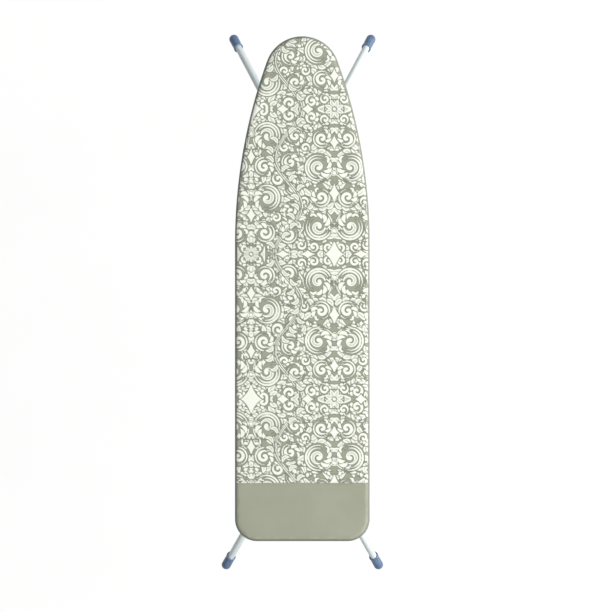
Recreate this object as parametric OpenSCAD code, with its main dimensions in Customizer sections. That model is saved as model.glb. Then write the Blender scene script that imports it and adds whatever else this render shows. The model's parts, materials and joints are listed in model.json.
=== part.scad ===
// Full-size folding ironing board on a crossed four-leg stand.
// Frame: X across the board, Y along it with the rounded nose at +Y, Z up. Left is -X.
// Origin: on the floor, straight below the crossing pivot of the two leg frames.
// The front legs stand under the nose and hinge at the rear of the board; the rear legs
// stand under the square end, and their tops slide in a channel towards the nose.

/* [Board top] */
// Overall length of the covered board, nose tip to square end
board_len = 1372; // [1340:1:1400]
// Overall width of the covered board
board_w = 366; // [352:1:384]
// Distance from the origin to the nose tip, along Y
nose_y = 722; // [716:1:728]
// Radius of the nose
nose_r = 102; // [90:1:112]
// Length of the taper, measured back from the nose tip
taper_len = 562; // [500:1:620]
// Radius of the two rear corners
corner_r = 60; // [40:1:70]
// Depth of the plain fabric panel at the square end
plain_panel = 158; // [120:1:200]
// Thickness of the foam and felt pad
pad_t = 8; // [6:0.5:9]
// Thickness of the cover fabric
cover_t = 1.2; // [1:0.1:1.5]
// Width of the hem turned under the board
hem_w = 38; // [34:1:38]
// Depth of the folded skirt round the steel top
skirt_h = 18; // [14:1:18]
// Gauge of the steel top
sheet_t = 1; // [0.8:0.1:1.2]
// Diameter of the steam vents
vent_d = 13; // [8:1:16]
// Spacing of the steam vents
vent_pitch = 43; // [40:1:60]

/* [Legs] */
// Slope of each leg frame at the modelled height setting
leg_angle = 33; // [31:0.5:34]
// Distance along a leg from the crossing pivot up to its top axis
arm_up = 560; // [550:1:562]
// Floor distance from the origin to the middle of each foot
foot_reach = 722; // [708:1:726]
// Diameter of the leg tube
tube_d = 19; // [18:0.5:19]
// Wall of the leg tube
tube_wall = 1.5; // [1.2:0.1:2]
// Half spacing of the tubes of the frame that stands under the nose
outer_x = 58; // [57:0.5:60]
// Half spacing of the tubes of the frame that stands under the square end
inner_x = 32; // [31:0.5:32]
// Half spacing of the two feet under the nose
front_foot_x = 188; // [178:1:196]
// Half spacing of the two feet under the square end
rear_foot_x = 209; // [199:1:217]
// Centre-line radius of the bend in each tube
bend_r = 120; // [100:5:140]
// Height of the tube axis above the floor at the foot
foot_axis_z = 9.5; // [9:0.5:11]
// Outer diameter of the foot caps
cap_d = 26; // [25:0.5:27]
// Length of the foot caps, mouth to centre of the rounded end
cap_len = 33; // [28:1:36]

/* [Hinges and height lock] */
// Depth of the top axes below the steel sheet
axis_drop = 20; // [20:0.5:22]
// Diameter of the rear hinge rod
hinge_d = 8; // [8:0.5:9]
// Diameter of the cross bar that slides in the channel
bar_d = 10; // [10:0.5:10.5]
// Outer diameter of the slider bosses that run in the channel slots
boss_d = 12; // [12:0.5:12.5]
// Diameter of the rod that the lock plate grips
rod_d = 8; // [8:0.1:8]
// Length of the lock rod
rod_len = 370; // [368:1:374]
// Tilt of the lock plate when it grips
grip_tilt = 10; // [8:1:10]
// Diameter of the release lever wire
lever_d = 7; // [6:0.5:7]
// Extra leg slope, above the modelled setting, that the channel slots allow, in degrees
raise_deg = 8; // [6:1:8]
// Slope of the leg frames when folded
fold_angle = 2.2; // [2.2:0.1:3]

/* [Hidden] */
$fn = 64;
eps = 0.01;
over = 1;            // how far a cutter runs past a face
run_play = 0.1;      // on diameter, where parts turn or slide
press_play = 0.04;   // on diameter, where parts are pressed in
snug_play = 0.02;    // the least gap between fitted parts

// colours
leg_paint = "#e3e8e6";
steel = "#b9bec2";
cap_steel = "#8d9298";
lock_steel = "#9aa0a6";
nylon = "#e8e8e2";
cap_blue = "#66779a";
sage = "#a7aa95";
cream = "#f2f3e4";

// leg frames, tops and feet
tube_r = tube_d / 2;
bore_r = tube_r - tube_wall;
leg_down = foot_reach / cos(leg_angle);   // crossing pivot to foot, along the leg
pivot_z = foot_axis_z + leg_down * sin(leg_angle);
axis_z = pivot_z + arm_up * sin(leg_angle);
hinge_y = -arm_up * cos(leg_angle);
slider_y = arm_up * cos(leg_angle);
slider_min = hinge_y + 2 * arm_up * cos(leg_angle + raise_deg);
slider_max = hinge_y + 2 * arm_up * cos(fold_angle);

// board outline
half_w = board_w / 2;
rear_y = nose_y - board_len;
seam_y = rear_y + plain_panel;
taper_y = nose_y - taper_len;
// radius of the long side arcs, tangent to the nose circle and to the straight sides
side_r = (half_w * half_w - nose_r * nose_r + pow(taper_len - nose_r, 2))
    / (2 * (half_w - nose_r));

// board levels
sheet_z = axis_z + axis_drop;
pad_z = sheet_z + sheet_t;
top_z = pad_z + pad_t + cover_t;
skirt_z = pad_z - skirt_h;

// bracket and channel steel
gauge = 1.5;
bracket_z = sheet_z - gauge;   // underside of the plates that lie against the sheet
chan_w = 17;                   // half width of the guide channel
lever_x = 112;                 // handle of the release lever
lever_y = 330;                 // shaft of the release lever
lever_z = axis_z + 12;
lever_bracket_x = lever_x - 20;
chan_back = lever_y - 45;
chan_front = slider_max + 18;
pin_d = 8;                     // crossing rivets

// holes that take a bush
hinge_seat = hinge_d + 4;
rod_seat = rod_d + 4;
pivot_seat = pin_d + 3;
lever_seat = lever_d + 3;

// rivet places, [x, y]
rivet_d = 5;
hinge_rivets = [[-40, hinge_y], [40, hinge_y], [-66, hinge_y - 17], [66, hinge_y - 17]];
channel_rivets = [for (step = [30, 130, 230, 325]) [0, lever_y + step]];
lever_rivets = [for (step = [-9, 9]) [lever_x - 29, lever_y + step]];
rivet_spots = concat(hinge_rivets, channel_rivets, lever_rivets);

// ---- shared shapes -------------------------------------------------------

// turn +Z to +X, +Y or -Y
module along_x() { rotate([0, 90, 0]) children(); }
module along_y() { rotate([-90, 0, 0]) children(); }
module back_y() { rotate([90, 0, 0]) children(); }

// lay a profile in the YZ plane
module profile_yz() { rotate([90, 0, 90]) children(); }

module to_left() { mirror([1, 0, 0]) children(); }
module both_sides() { for (m = [0, 1]) mirror([m, 0, 0]) children(); }

module at_hinge() { translate([0, hinge_y, axis_z]) children(); }
module at_slider() { translate([0, slider_y, axis_z]) children(); }
module at_lever() { translate([0, lever_y, lever_z]) children(); }

// box centred on X
module mid_box(width, y, z, depth, height) {
    translate([-width / 2, y, z]) cube([width, depth, height]);
}

// rod centred on X
module x_rod(d, half) {
    translate([-half, 0, 0]) along_x() cylinder(d = d, h = 2 * half);
}

// coaxial cylinders along Z, each [start, diameter, length]
module stack(steps) {
    for (s = steps) translate([0, 0, s[0]]) cylinder(d = s[1], h = s[2]);
}

// the same with a bore, also [start, diameter, length]
module turned(steps, bore) {
    difference() {
        stack(steps);
        stack([bore]);
    }
}

// cutters for rivets through a plate with its underside at z
module rivet_holes(spots, z, thick) {
    for (p = spots) translate([p[0], p[1], z - over]) cylinder(d = rivet_d, h = thick + 2 * over);
}

// bracket leg in profile: a rounded foot round the origin, straight up to a height
module tab(radius, height) {
    circle(radius);
    translate([-radius, 0]) square([2 * radius, height]);
}

// push-on cap outside x, pointing along side (-1 or 1)
module push_cap(x, side, bore, d, len) {
    translate([x, 0, 0]) rotate([0, side * 90, 0])
        turned([[0, d, 1.2], [0, d - 3, len]], [-over, bore, len]);
}

// bush along X with a flange at each end
module bush(from, to, bore, body, flange) {
    flange_t = 0.9;
    along_x() turned(
        [[from, body, to - from], [from, flange, flange_t], [to - flange_t, flange, flange_t]],
        [from - over, bore, to - from + 2 * over]);
}

// ---- board outline -------------------------------------------------------

// y where the nose circle meets the long side arcs, for an outline inset by d
function touch_y(d) =
    nose_y - nose_r + (nose_r - d) * (taper_len - nose_r) / (side_r - nose_r);

// half width of the full outline at a given y
function side_x(y) =
    y >= nose_y ? 0 :
    y > touch_y(0) ? sqrt(pow(nose_r, 2) - pow(y - nose_y + nose_r, 2)) :
    y > taper_y ? half_w - side_r + sqrt(pow(side_r, 2) - pow(y - taper_y, 2)) :
    half_w;

module outline(inset) {
    edge_x = half_w - inset;
    corner_x = half_w - corner_r;
    corner_y = rear_y + corner_r;
    // taper: the two long arcs, cut off where the nose circle takes over
    intersection() {
        translate([half_w - side_r, taper_y]) circle(side_r - inset, $fn = 256);
        translate([side_r - half_w, taper_y]) circle(side_r - inset, $fn = 256);
        translate([-half_w, taper_y - 1]) square([board_w, touch_y(inset) - taper_y + 1]);
    }
    translate([0, nose_y - nose_r]) circle(nose_r - inset, $fn = 128);
    // straight part with rounded rear corners
    translate([-edge_x, corner_y]) square([2 * edge_x, taper_y - rear_y - corner_r]);
    translate([-corner_x, rear_y + inset]) square([2 * corner_x, corner_r + 1]);
    for (s = [-1, 1]) translate([s * corner_x, corner_y]) circle(corner_r - inset);
}

module slab(inset, z0, z1) {
    translate([0, 0, z0]) linear_extrude(z1 - z0) outline(inset);
}

// ---- steel top -----------------------------------------------------------

steel_inset = 4;
vent_row = vent_pitch * sqrt(3) / 2;
vent_start_y = 20;   // y of row 0

// areas without vents, [x from, x to, y from, y to]
no_vents = [
    [-32, 32, chan_back - 14, chan_front + 14],                     // guide channel
    [-94, 94, hinge_y - 38, hinge_y + 38],                          // hinge bracket
    [lever_x - 46, lever_x + 24, lever_y - 30, lever_y + 30]        // lever bracket
];

function in_area(x, y, a) = x > a[0] && x < a[1] && y > a[2] && y < a[3];

// true away from the edge, the areas above and the rear corners
function vent_ok(x, y) =
    side_x(y + 22) > abs(x) + 26 && side_x(y) > abs(x) + 24 && y > rear_y + 26
    && len([for (a = no_vents) if (in_area(x, y, a)) a]) == 0
    && !(y < rear_y + 90 && abs(x) > side_x(y) - 24 - max(0, rear_y + 60 - y) / 2);

module vent_holes() {
    for (row = [-18 : 18], col = [-5 : 5]) {
        x = (col + (abs(row) % 2) / 2) * vent_pitch;   // odd rows are staggered
        y = row * vent_row + vent_start_y;
        if (vent_ok(x, y))
            translate([x, y, sheet_z - over]) cylinder(d = vent_d, h = sheet_t + 2 * over);
    }
}

module steel_top() {
    color(steel) {
        difference() {
            slab(steel_inset, sheet_z, pad_z);
            vent_holes();
            rivet_holes(rivet_spots, sheet_z, sheet_t);
        }
        difference() {
            slab(steel_inset, skirt_z, sheet_z);
            slab(steel_inset + sheet_t, skirt_z - over, sheet_z + over);
        }
    }
}

// ---- pad and cover -------------------------------------------------------

module pad() {
    color("#f4f1e8") slab(cover_t + 0.1, pad_z, pad_z + pad_t);
}

// fabric over the pad and down the sides, with a hem turned under the skirt
module cover_shell() {
    hem_top = skirt_z - 0.2;
    difference() {
        slab(0, hem_top - cover_t, top_z);
        slab(cover_t, hem_top, top_z - cover_t);
        slab(hem_w, hem_top - cover_t - over, hem_top + over);
    }
}

// part of the cover from y forward over a depth
module cover_part(y, depth) {
    intersection() {
        cover_shell();
        mid_box(board_w + 20, y, 0, depth, top_z + 10);
    }
}

module cover_printed_panel() { color(cream) cover_part(seam_y, board_len); }
module cover_plain_panel() { color(sage) cover_part(rear_y - 10, seam_y - rear_y + 10); }

cord_t = 3;
tail_x = 9.5;        // half spacing of the cord tails
tail_len = 70;
tail_y = rear_y + hem_w - 4;

// cord threaded through the hem, with two free tails at the square end
module hem_cord() {
    z = skirt_z + 0.1;
    color("#e6e4d8") {
        difference() {
            slab(hem_w - 4, z, z + cord_t);
            slab(hem_w - 4 + cord_t, z - over, z + cord_t + over);
            mid_box(22, rear_y, z - 2, 80, 8);   // gap between the tails
        }
        for (s = [-1, 1])
            translate([s * tail_x - cord_t / 2, tail_y, z]) cube([cord_t, tail_len, cord_t]);
    }
}

// barrel toggle that grips both tails
module cord_lock() {
    hole = cord_t + 0.2;
    color("#3d4450") translate([0, rear_y + hem_w + 22, skirt_z + 1.6]) difference() {
        x_rod(11, 14);
        for (s = [-1, 1]) translate([s * tail_x - hole / 2, -10, -hole / 2]) cube([hole, 20, hole]);
    }
}

// ---- rear hinge ----------------------------------------------------------

ear_t = 2;
ear_r = 10;
ear_gap = 2.2;       // tube surface to the middle of an ear
ear_in = outer_x - tube_r - ear_gap;
ear_out = outer_x + tube_r + ear_gap;

// plate across X, pierced on the hinge axis
module ear(x) {
    translate([x, 0, 0]) profile_yz() linear_extrude(ear_t, center = true) difference() {
        tab(ear_r, axis_drop - gauge + eps);
        circle(d = hinge_d + press_play);
    }
}

module rear_hinge_bracket() {
    color(steel) difference() {
        union() {
            mid_box(168, hinge_y - 26, bracket_z, 52, gauge);
            at_hinge() for (s = [-1, 1], x = [ear_in, ear_out]) ear(s * x);
        }
        rivet_holes(hinge_rivets, bracket_z, gauge);
    }
}

module hinge_rod() { color("silver") at_hinge() x_rod(hinge_d, ear_out + 5.5); }

module hinge_rod_caps() {
    color(cap_steel) at_hinge() for (s = [-1, 1])
        push_cap(s * (ear_out + ear_t / 2 + 0.05), s, hinge_d + press_play, 14, 6);
}

// ---- guide channel and lever bracket -------------------------------------

chan_len = chan_front - chan_back;
chan_z = axis_z - 10;          // lower edge of the channel walls
chan_wall_h = axis_drop + 10 - gauge + eps;
back_plate_t = 2;

module slot(from, to, r) {
    translate([from, -r]) square([to - from, 2 * r]);
    translate([from, 0]) circle(r);
    translate([to, 0]) circle(r);
}

module guide_channel() {
    color(steel) difference() {
        union() {
            mid_box(2 * chan_w, chan_back, bracket_z, chan_len, gauge);
            for (x = [-chan_w, chan_w - gauge])
                translate([x, chan_back, chan_z]) cube([gauge, chan_len, chan_wall_h]);
            // end plates
            mid_box(2 * chan_w, chan_back, chan_z, back_plate_t, chan_wall_h);
            mid_box(2 * chan_w, chan_front - gauge, chan_z, gauge, chan_wall_h);
        }
        // long slots for the slider bosses
        translate([-chan_w - over, 0, axis_z]) profile_yz() linear_extrude(2 * (chan_w + over))
            slot(slider_min - 0.5, slider_max + 0.5, boss_d / 2 + 0.15);
        at_lever() x_rod(lever_d + run_play, chan_w + over);
        // bush seat in the rear end plate
        translate([0, chan_back - over, axis_z]) along_y()
            cylinder(d = rod_seat, h = back_plate_t + 2 * over);
        rivet_holes(channel_rivets, bracket_z, gauge);
    }
}

module rod_guide_bush() {
    color(nylon) translate([0, chan_back, axis_z]) along_y() turned(
        [[-1.6, rod_d + 8, 1.55], [-0.1, rod_seat - press_play, 3.1], [2.05, rod_d + 6, 1.4]],
        [-3, rod_d + run_play, 10]);
}

module lever_bracket() {
    plate_t = 2;
    color(steel) difference() {
        union() {
            translate([lever_bracket_x - 17, lever_y - 17, bracket_z]) cube([19, 34, gauge]);
            translate([lever_bracket_x, lever_y, lever_z]) profile_yz() linear_extrude(plate_t)
                tab(8, sheet_z - lever_z - gauge / 2);
        }
        translate([lever_bracket_x - over, lever_y, lever_z]) along_x()
            cylinder(d = lever_seat, h = plate_t + 2 * over);
        rivet_holes(lever_rivets, bracket_z, gauge);
    }
}

module lever_bush() {
    flange_d = lever_d + 6;
    color(nylon) translate([lever_bracket_x, lever_y, lever_z]) along_x() turned(
        [[-1.3, flange_d, 1.25], [-0.1, lever_seat - press_play, 2.2], [2.05, flange_d, 1.25]],
        [-3, lever_d + run_play, 10]);
}

// stepped head below, flush with the sheet above
module top_rivets() {
    color("silver") for (p = rivet_spots) translate([p[0], p[1], bracket_z]) stack([
        [-0.5, rivet_d - press_play, gauge + sheet_t + 0.5],
        [-1.25, 9, 1.2],
        [-2.1, 6.6, 1]
    ]);
}

// ---- leg frames ----------------------------------------------------------

// Each frame is drawn flat: the crossing pivot at the origin, +Y down towards the feet.
module place_front() { translate([0, 0, pivot_z]) rotate([-leg_angle, 0, 0]) children(); }
module place_rear() {
    translate([0, 0, pivot_z]) rotate([0, 0, 180]) rotate([-leg_angle, 0, 0]) children();
}

// [half spacing above the bend, half spacing of the feet, plan slope of the splayed part]
front_legs = [outer_x, front_foot_x, 0.527];
rear_legs = [inner_x, rear_foot_x, 0.566];

// angle of the splayed part in the frame's plane, and y where its axis leaves the straight
function splay(legs) = atan(legs[2] * cos(leg_angle));
function bend_y(legs) = leg_down - (legs[1] - legs[0]) / tan(splay(legs));

bend_thin = 0.05;    // the bend is this much smaller in radius, as a drawn tube thins there
lap = 2;             // the straights run this far into the bend
tube_top = -arm_up - 11;
tube_cut = 4;        // the tube stops this far short of the foot centre

// round bar of radius r from y = start, bent out to the foot and stopped short by cut
module bent_path(legs, r, start, cut) {
    angle = splay(legs);
    arc_y = bend_y(legs) - bend_r * tan(angle / 2);
    arc_end_x = legs[0] + bend_r * (1 - cos(angle));
    arc_end_y = arc_y + bend_r * sin(angle);
    run = (leg_down - arc_end_y) / cos(angle) - cut;
    translate([legs[0], start, 0]) along_y() cylinder(r = r, h = arc_y - start + lap);
    translate([legs[0] + bend_r, arc_y, 0]) rotate([0, 0, 180 - angle])
        rotate_extrude(angle = angle, $fn = 128) translate([bend_r, 0]) circle(r - bend_thin);
    translate([arc_end_x, arc_end_y, 0]) rotate([0, 0, -angle]) along_y()
        translate([0, 0, -lap]) cylinder(r = r, h = run + lap);
}

// right-hand tube; holes are [y, diameter]
module leg_tube(legs, holes) {
    difference() {
        bent_path(legs, tube_r, tube_top, tube_cut);
        bent_path(legs, bore_r, tube_top - over, tube_cut - over);
        for (hole = holes) translate([legs[0] - tube_r - 2, hole[0], 0]) along_x()
            cylinder(d = hole[1], h = tube_d + 4);
    }
}

module front_leg_tube() { leg_tube(front_legs, [[-arm_up, hinge_seat], [0, pin_d]]); }
module rear_leg_tube() { leg_tube(rear_legs, [[-arm_up, bar_d], [0, pivot_seat]]); }

// place_rear turns the frame round, so its own right side is the board's left
module front_leg_tube_left() { color(leg_paint) place_front() to_left() front_leg_tube(); }
module front_leg_tube_right() { color(leg_paint) place_front() front_leg_tube(); }
module rear_leg_tube_left() { color(leg_paint) place_rear() rear_leg_tube(); }
module rear_leg_tube_right() { color(leg_paint) place_rear() to_left() rear_leg_tube(); }

brace_d = 16;
front_brace_y = 640;   // along the leg from the pivot
rear_brace_y = 680;

// cross tube, coped to the splayed tubes
module leg_brace(legs, y) {
    half = legs[0] + (y - bend_y(legs)) * tan(splay(legs));
    difference() {
        translate([0, y, 0]) difference() {
            x_rod(brace_d, half);
            x_rod(brace_d - 2 * tube_wall, half + over);
        }
        both_sides() translate([half, y, 0]) rotate([0, 0, -splay(legs)]) along_y()
            cylinder(r = tube_r + 0.05, h = 80, center = true);
    }
}

module front_leg_brace() { color(leg_paint) place_front() leg_brace(front_legs, front_brace_y); }
module rear_leg_brace() { color(leg_paint) place_rear() leg_brace(rear_legs, rear_brace_y); }

// ---- leg pivots, plugs and feet ------------------------------------------

bush_stand = 0.95;   // a bush stands out this far from each side of its tube

module hinge_bushes() {
    color(nylon) place_front() both_sides() translate([0, -arm_up, 0])
        bush(outer_x - tube_r - bush_stand, outer_x + tube_r + bush_stand,
            hinge_d + run_play, hinge_seat - press_play, hinge_d + 8);
}

module pivot_bushes() {
    color(nylon) place_rear() both_sides()
        bush(inner_x - tube_r - bush_stand, inner_x + tube_r + bush_stand,
            pin_d + run_play, pivot_seat - press_play, pin_d + 6);
}

// shank, two-step outer head, inner head
module pivot_rivets() {
    inner_side = inner_x - tube_r;
    head = outer_x + tube_r + 0.05;
    color("silver") place_front() both_sides() along_x() stack([
        [inner_side - 1.2, pin_d - snug_play, outer_x - inner_x + tube_d + 1.3],
        [head, 15, 1.5],
        [head, 11, 2.8],
        [inner_side - 3.0, 14, 1.8]
    ]);
}

module pivot_spacers() {
    start = inner_x + tube_r + 1.15;
    color(nylon) place_front() both_sides() along_x()
        turned([[start, 17, outer_x - inner_x - tube_d - 1.2]], [start - over, pin_d, 20]);
}

// plug with a chamfered head, pressed into the open top end of the tube at x
module end_plug(x) {
    head_t = 1.6;
    translate([x, tube_top - snug_play, 0]) back_y() {
        translate([0, 0, -3.5]) cylinder(r = bore_r - snug_play, h = 4);
        cylinder(r = tube_r, h = head_t);
        translate([0, 0, head_t - eps]) cylinder(r1 = tube_r, r2 = tube_r - 2, h = head_t);
    }
}

module front_leg_end_plugs() { color(cap_blue) place_front() both_sides() end_plug(outer_x); }
module rear_leg_end_plugs() { color(cap_blue) place_rear() both_sides() end_plug(inner_x); }

// rounded right-hand foot cap with a slanted mouth
module foot_cap(legs) {
    translate([legs[1], leg_down, 0]) rotate([0, 0, -splay(legs)]) difference() {
        union() {
            sphere(r = cap_d / 2, $fn = 96);
            back_y() cylinder(r = cap_d / 2, h = cap_len + 8);
        }
        // socket for the tube
        back_y() translate([0, 0, tube_cut - snug_play])
            cylinder(r = tube_r + snug_play, h = cap_len + 20);
        // slanted mouth, shorter on the upper side
        translate([0, -cap_len, 0]) rotate([-22, 0, 0]) mid_box(40, -40, -40, 40, 80);
    }
}

// cut flat at the floor
module above_floor() {
    difference() {
        children();
        mid_box(800, -900, -60, 1800, 60);
    }
}

module front_foot_cap_left() {
    color(cap_blue) above_floor() place_front() to_left() foot_cap(front_legs);
}
module front_foot_cap_right() { color(cap_blue) above_floor() place_front() foot_cap(front_legs); }
module rear_foot_cap_left() { color(cap_blue) above_floor() place_rear() foot_cap(rear_legs); }
module rear_foot_cap_right() {
    color(cap_blue) above_floor() place_rear() to_left() foot_cap(rear_legs);
}

// ---- slider and lock rod -------------------------------------------------

module cross_bar() {
    color("silver") at_slider() x_rod(bar_d - snug_play, inner_x + tube_r + 4.2);
}

module cross_bar_caps() {
    color(cap_steel) at_slider() for (s = [-1, 1])
        push_cap(s * (inner_x + tube_r + 0.15), s, bar_d, 15, 5.2);
}

slider_w = 29.2;
slider_len = 28;
slider_h = 16;
boss_half = 21.6;    // half span of the bosses
rod_front = -7;      // front end of the lock rod, from the slider axis
rod_back = slider_y + rod_front - rod_len;

module slider_block() {
    socket_y = -slider_len / 2 - over;
    color("#4a5160") at_slider() difference() {
        union() {
            mid_box(slider_w, -slider_len / 2, -slider_h / 2, slider_len, slider_h);
            x_rod(boss_d, boss_half);
        }
        x_rod(bar_d + run_play, 30);
        translate([0, socket_y, 0]) along_y() cylinder(d = rod_d, h = rod_front - socket_y + 0.2);
    }
}

module lock_rod() {
    color("silver") translate([0, rod_back, axis_z]) along_y()
        cylinder(d = rod_d - snug_play, h = rod_len);
}

module lock_rod_nut() {
    color(lock_steel) at_slider() translate([0, -slider_len / 2 - 0.05, 0]) back_y() difference() {
        cylinder(d = 15, h = 5, $fn = 6);
        translate([0, 0, -over]) cylinder(d = rod_d, h = 8);
    }
}

module lock_rod_end_cap() {
    color(cap_blue) translate([0, rod_back, axis_z]) back_y()
        turned([[-8, 11, 10], [2, 8, 1.2]], [-9, rod_d, 9]);
}

// ---- release lever -------------------------------------------------------

lever_r = lever_d / 2;
lever_left = -chan_w - 7;
lever_bend = 14;     // centre-line radius between shaft and handle
handle_len = 100;
handle_drop = 14;    // slope of the handle at rest, in degrees
grip_y = 24;         // start of the grip, back from the shaft
grip_r = 6.2;
grip_len = handle_len - 22;

module release_lever() {
    shaft_right = lever_x - lever_bend;
    color("silver") at_lever() rotate([handle_drop, 0, 0]) {
        translate([lever_left, 0, 0]) along_x() cylinder(r = lever_r, h = shaft_right - lever_left);
        translate([shaft_right, -lever_bend, 0]) rotate_extrude(angle = 90, $fn = 96)
            translate([lever_bend, 0]) circle(lever_r);
        translate([lever_x, -lever_bend, 0]) back_y()
            cylinder(r = lever_r, h = handle_len - lever_bend);
    }
}

// plate under the lever shaft, tilted so that its hole bites on the lock rod
module lock_plate() {
    color(lock_steel) at_lever() rotate([grip_tilt, 0, 0]) difference() {
        back_y() linear_extrude(3, center = true) difference() {
            translate([-8, -20]) square([16, 18]);
            translate([0, -12.4]) circle(rod_d / 2 + 0.6);
        }
        along_x() cylinder(d = lever_d + snug_play, h = 40, center = true);
    }
}

module lever_grip() {
    color(cap_blue) at_lever() rotate([handle_drop, 0, 0])
        translate([lever_x, -grip_y, 0]) back_y() difference() {
            union() {
                cylinder(r = grip_r, h = grip_len);
                translate([0, 0, grip_len]) sphere(r = grip_r);
                cylinder(r = 7.4, h = 3);   // collar
            }
            translate([0, 0, -over])
                cylinder(r = lever_r + snug_play, h = handle_len - grip_y + over + snug_play);
        }
}

module lever_retaining_cap() {
    color(cap_steel) at_lever() translate([-chan_w - 0.3, 0, 0]) rotate([0, -90, 0])
        turned([[0, 13, 1.2], [0, 10, 5.5]], [-over, lever_d + snug_play, 7]);
}

// compression spring round the lock rod, behind the plate
module lock_spring() {
    coil_r = rod_d / 2 + 1.6;
    wire_r = 0.7;
    start = chan_back + 3.6 + wire_r;
    end = lever_y - 1.65 - wire_r;
    turns = 7;
    steps = 12;      // per turn
    ring = 6;        // points round the wire
    count = turns * steps;
    points = [for (i = [0 : count], k = [0 : ring - 1])
        let (
            turn = i * 360 / steps,
            around = k * 360 / ring,
            y = start + (end - start) * i / count + wire_r * sin(around),
            r = coil_r + wire_r * cos(around)
        )
        [r * cos(turn), y, axis_z + r * sin(turn)]];
    sides = [for (i = [0 : count - 1], k = [0 : ring - 1])
        let (this = i * ring, next = this + ring, k2 = (k + 1) % ring)
        [this + k, this + k2, next + k2, next + k]];
    ends = [[for (k = [ring - 1 : -1 : 0]) k], [for (k = [0 : ring - 1]) count * ring + k]];
    color("silver") polyhedron(points, concat(sides, ends), convexity = 10);
}

steel_top();
pad();
cover_printed_panel();
cover_plain_panel();
hem_cord();
cord_lock();
rear_hinge_bracket();
hinge_rod();
hinge_rod_caps();
guide_channel();
rod_guide_bush();
lever_bracket();
lever_bush();
top_rivets();
front_leg_tube_left();
front_leg_tube_right();
front_leg_brace();
hinge_bushes();
pivot_rivets();
pivot_spacers();
front_leg_end_plugs();
front_foot_cap_left();
front_foot_cap_right();
rear_leg_tube_left();
rear_leg_tube_right();
rear_leg_brace();
pivot_bushes();
cross_bar();
cross_bar_caps();
rear_leg_end_plugs();
rear_foot_cap_left();
rear_foot_cap_right();
slider_block();
lock_rod();
lock_rod_nut();
lock_rod_end_cap();
release_lever();
lock_plate();
lever_grip();
lever_retaining_cap();
lock_spring();
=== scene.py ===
"""Ironing board: cloth cover, hem cord, pad and foot caps over the CAD frame, with a studio.

The board lies flat: its nose points to +Y, its square end to -Y, +X is its right and +Z is up.
Shapes are worked out in millimetres and turned into metres when a mesh is made.
"""

import json
import math

import bpy
import bmesh
import numpy as np
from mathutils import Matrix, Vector


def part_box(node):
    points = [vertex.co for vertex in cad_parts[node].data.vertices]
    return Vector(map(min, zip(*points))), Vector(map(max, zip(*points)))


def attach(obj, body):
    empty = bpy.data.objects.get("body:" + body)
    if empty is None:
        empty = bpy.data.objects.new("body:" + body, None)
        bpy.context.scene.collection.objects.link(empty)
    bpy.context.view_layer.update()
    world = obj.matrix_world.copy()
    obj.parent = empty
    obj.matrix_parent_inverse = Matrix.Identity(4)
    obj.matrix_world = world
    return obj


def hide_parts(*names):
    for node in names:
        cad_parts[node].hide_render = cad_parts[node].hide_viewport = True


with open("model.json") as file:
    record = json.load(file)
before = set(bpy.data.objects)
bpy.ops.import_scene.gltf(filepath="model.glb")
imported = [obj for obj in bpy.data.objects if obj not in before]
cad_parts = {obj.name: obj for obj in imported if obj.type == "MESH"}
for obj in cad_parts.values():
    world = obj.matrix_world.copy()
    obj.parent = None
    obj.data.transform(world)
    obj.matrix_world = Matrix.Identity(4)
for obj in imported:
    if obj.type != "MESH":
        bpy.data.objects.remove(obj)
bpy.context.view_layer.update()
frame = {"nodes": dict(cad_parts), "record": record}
MM = 0.001
NODES = frame["nodes"]


def box_mm(node):
    low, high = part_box(node)
    return np.array(low) * 1000, np.array(high) * 1000


# ---------------------------------------------------------------- driving sizes, in mm
printed_low, printed_high = box_mm("cover_printed_panel")
HALF_W, NOSE_Y, TOP_Z = printed_high
SEAM_Y = printed_low[1]                # where printed and plain cloth meet
REAR_Y = box_mm("cover_plain_panel")[0][1]
NOSE_R = 102.0
TAPER = 562.0                          # from the nose tip back to full width
CORNER_R = 60.0                        # rear corners
REAR_X = HALF_W - CORNER_R             # half length of the straight rear edge
AXIS_Z = box_mm("hinge_rod")[0][2] + 4.0
LEG_ANGLE = math.radians(33.0)         # legs to the floor

# The tapering side is one arc, tangent to the nose arc and to the straight side.
NOSE_TO_TAPER = TAPER - NOSE_R
SIDE_R = (HALF_W ** 2 - NOSE_R ** 2 + NOSE_TO_TAPER ** 2) / (2 * (HALF_W - NOSE_R))
TAPER_Y = NOSE_Y - TAPER
TANGENT_ANGLE = math.asin(NOSE_TO_TAPER / (SIDE_R - NOSE_R))


# ---------------------------------------------------------------- outline stations
# A station is a row x, y, normal x, normal y; the normal points outwards.
MIRROR_X = np.array([-1, 1, -1, 1])


def arc(centre_x, centre_y, radius, start, end, step):
    count = max(2, int(math.ceil(abs(end - start) * radius / step)))
    a = np.linspace(start, end, count + 1)
    cos, sin = np.cos(a), np.sin(a)
    return np.stack([centre_x + radius * cos, centre_y + radius * sin, cos, sin], 1)


def right_side(y_start, y_end, step):
    """Straight run along the right side."""
    count = max(1, int(math.ceil(abs(y_end - y_start) / step)))
    y = y_start + (y_end - y_start) * np.linspace(0, 1, count + 1)
    return np.stack([np.full(len(y), HALF_W), y, np.ones(len(y)), np.zeros(len(y))], 1)


def rear_edge(x):
    """Stations on the straight rear edge."""
    return np.stack([x, np.full(len(x), REAR_Y), np.zeros(len(x)), np.full(len(x), -1.0)], 1)


def front_stations(step):
    """Right half of the outline from the nose tip to the seam."""
    nose = arc(0, NOSE_Y - NOSE_R, NOSE_R, math.pi / 2, TANGENT_ANGLE, step)
    taper = arc(HALF_W - SIDE_R, TAPER_Y, SIDE_R, TANGENT_ANGLE, 0.0, step)
    return np.vstack([nose, taper[1:], right_side(TAPER_Y, SEAM_Y, step)[1:]])


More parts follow.
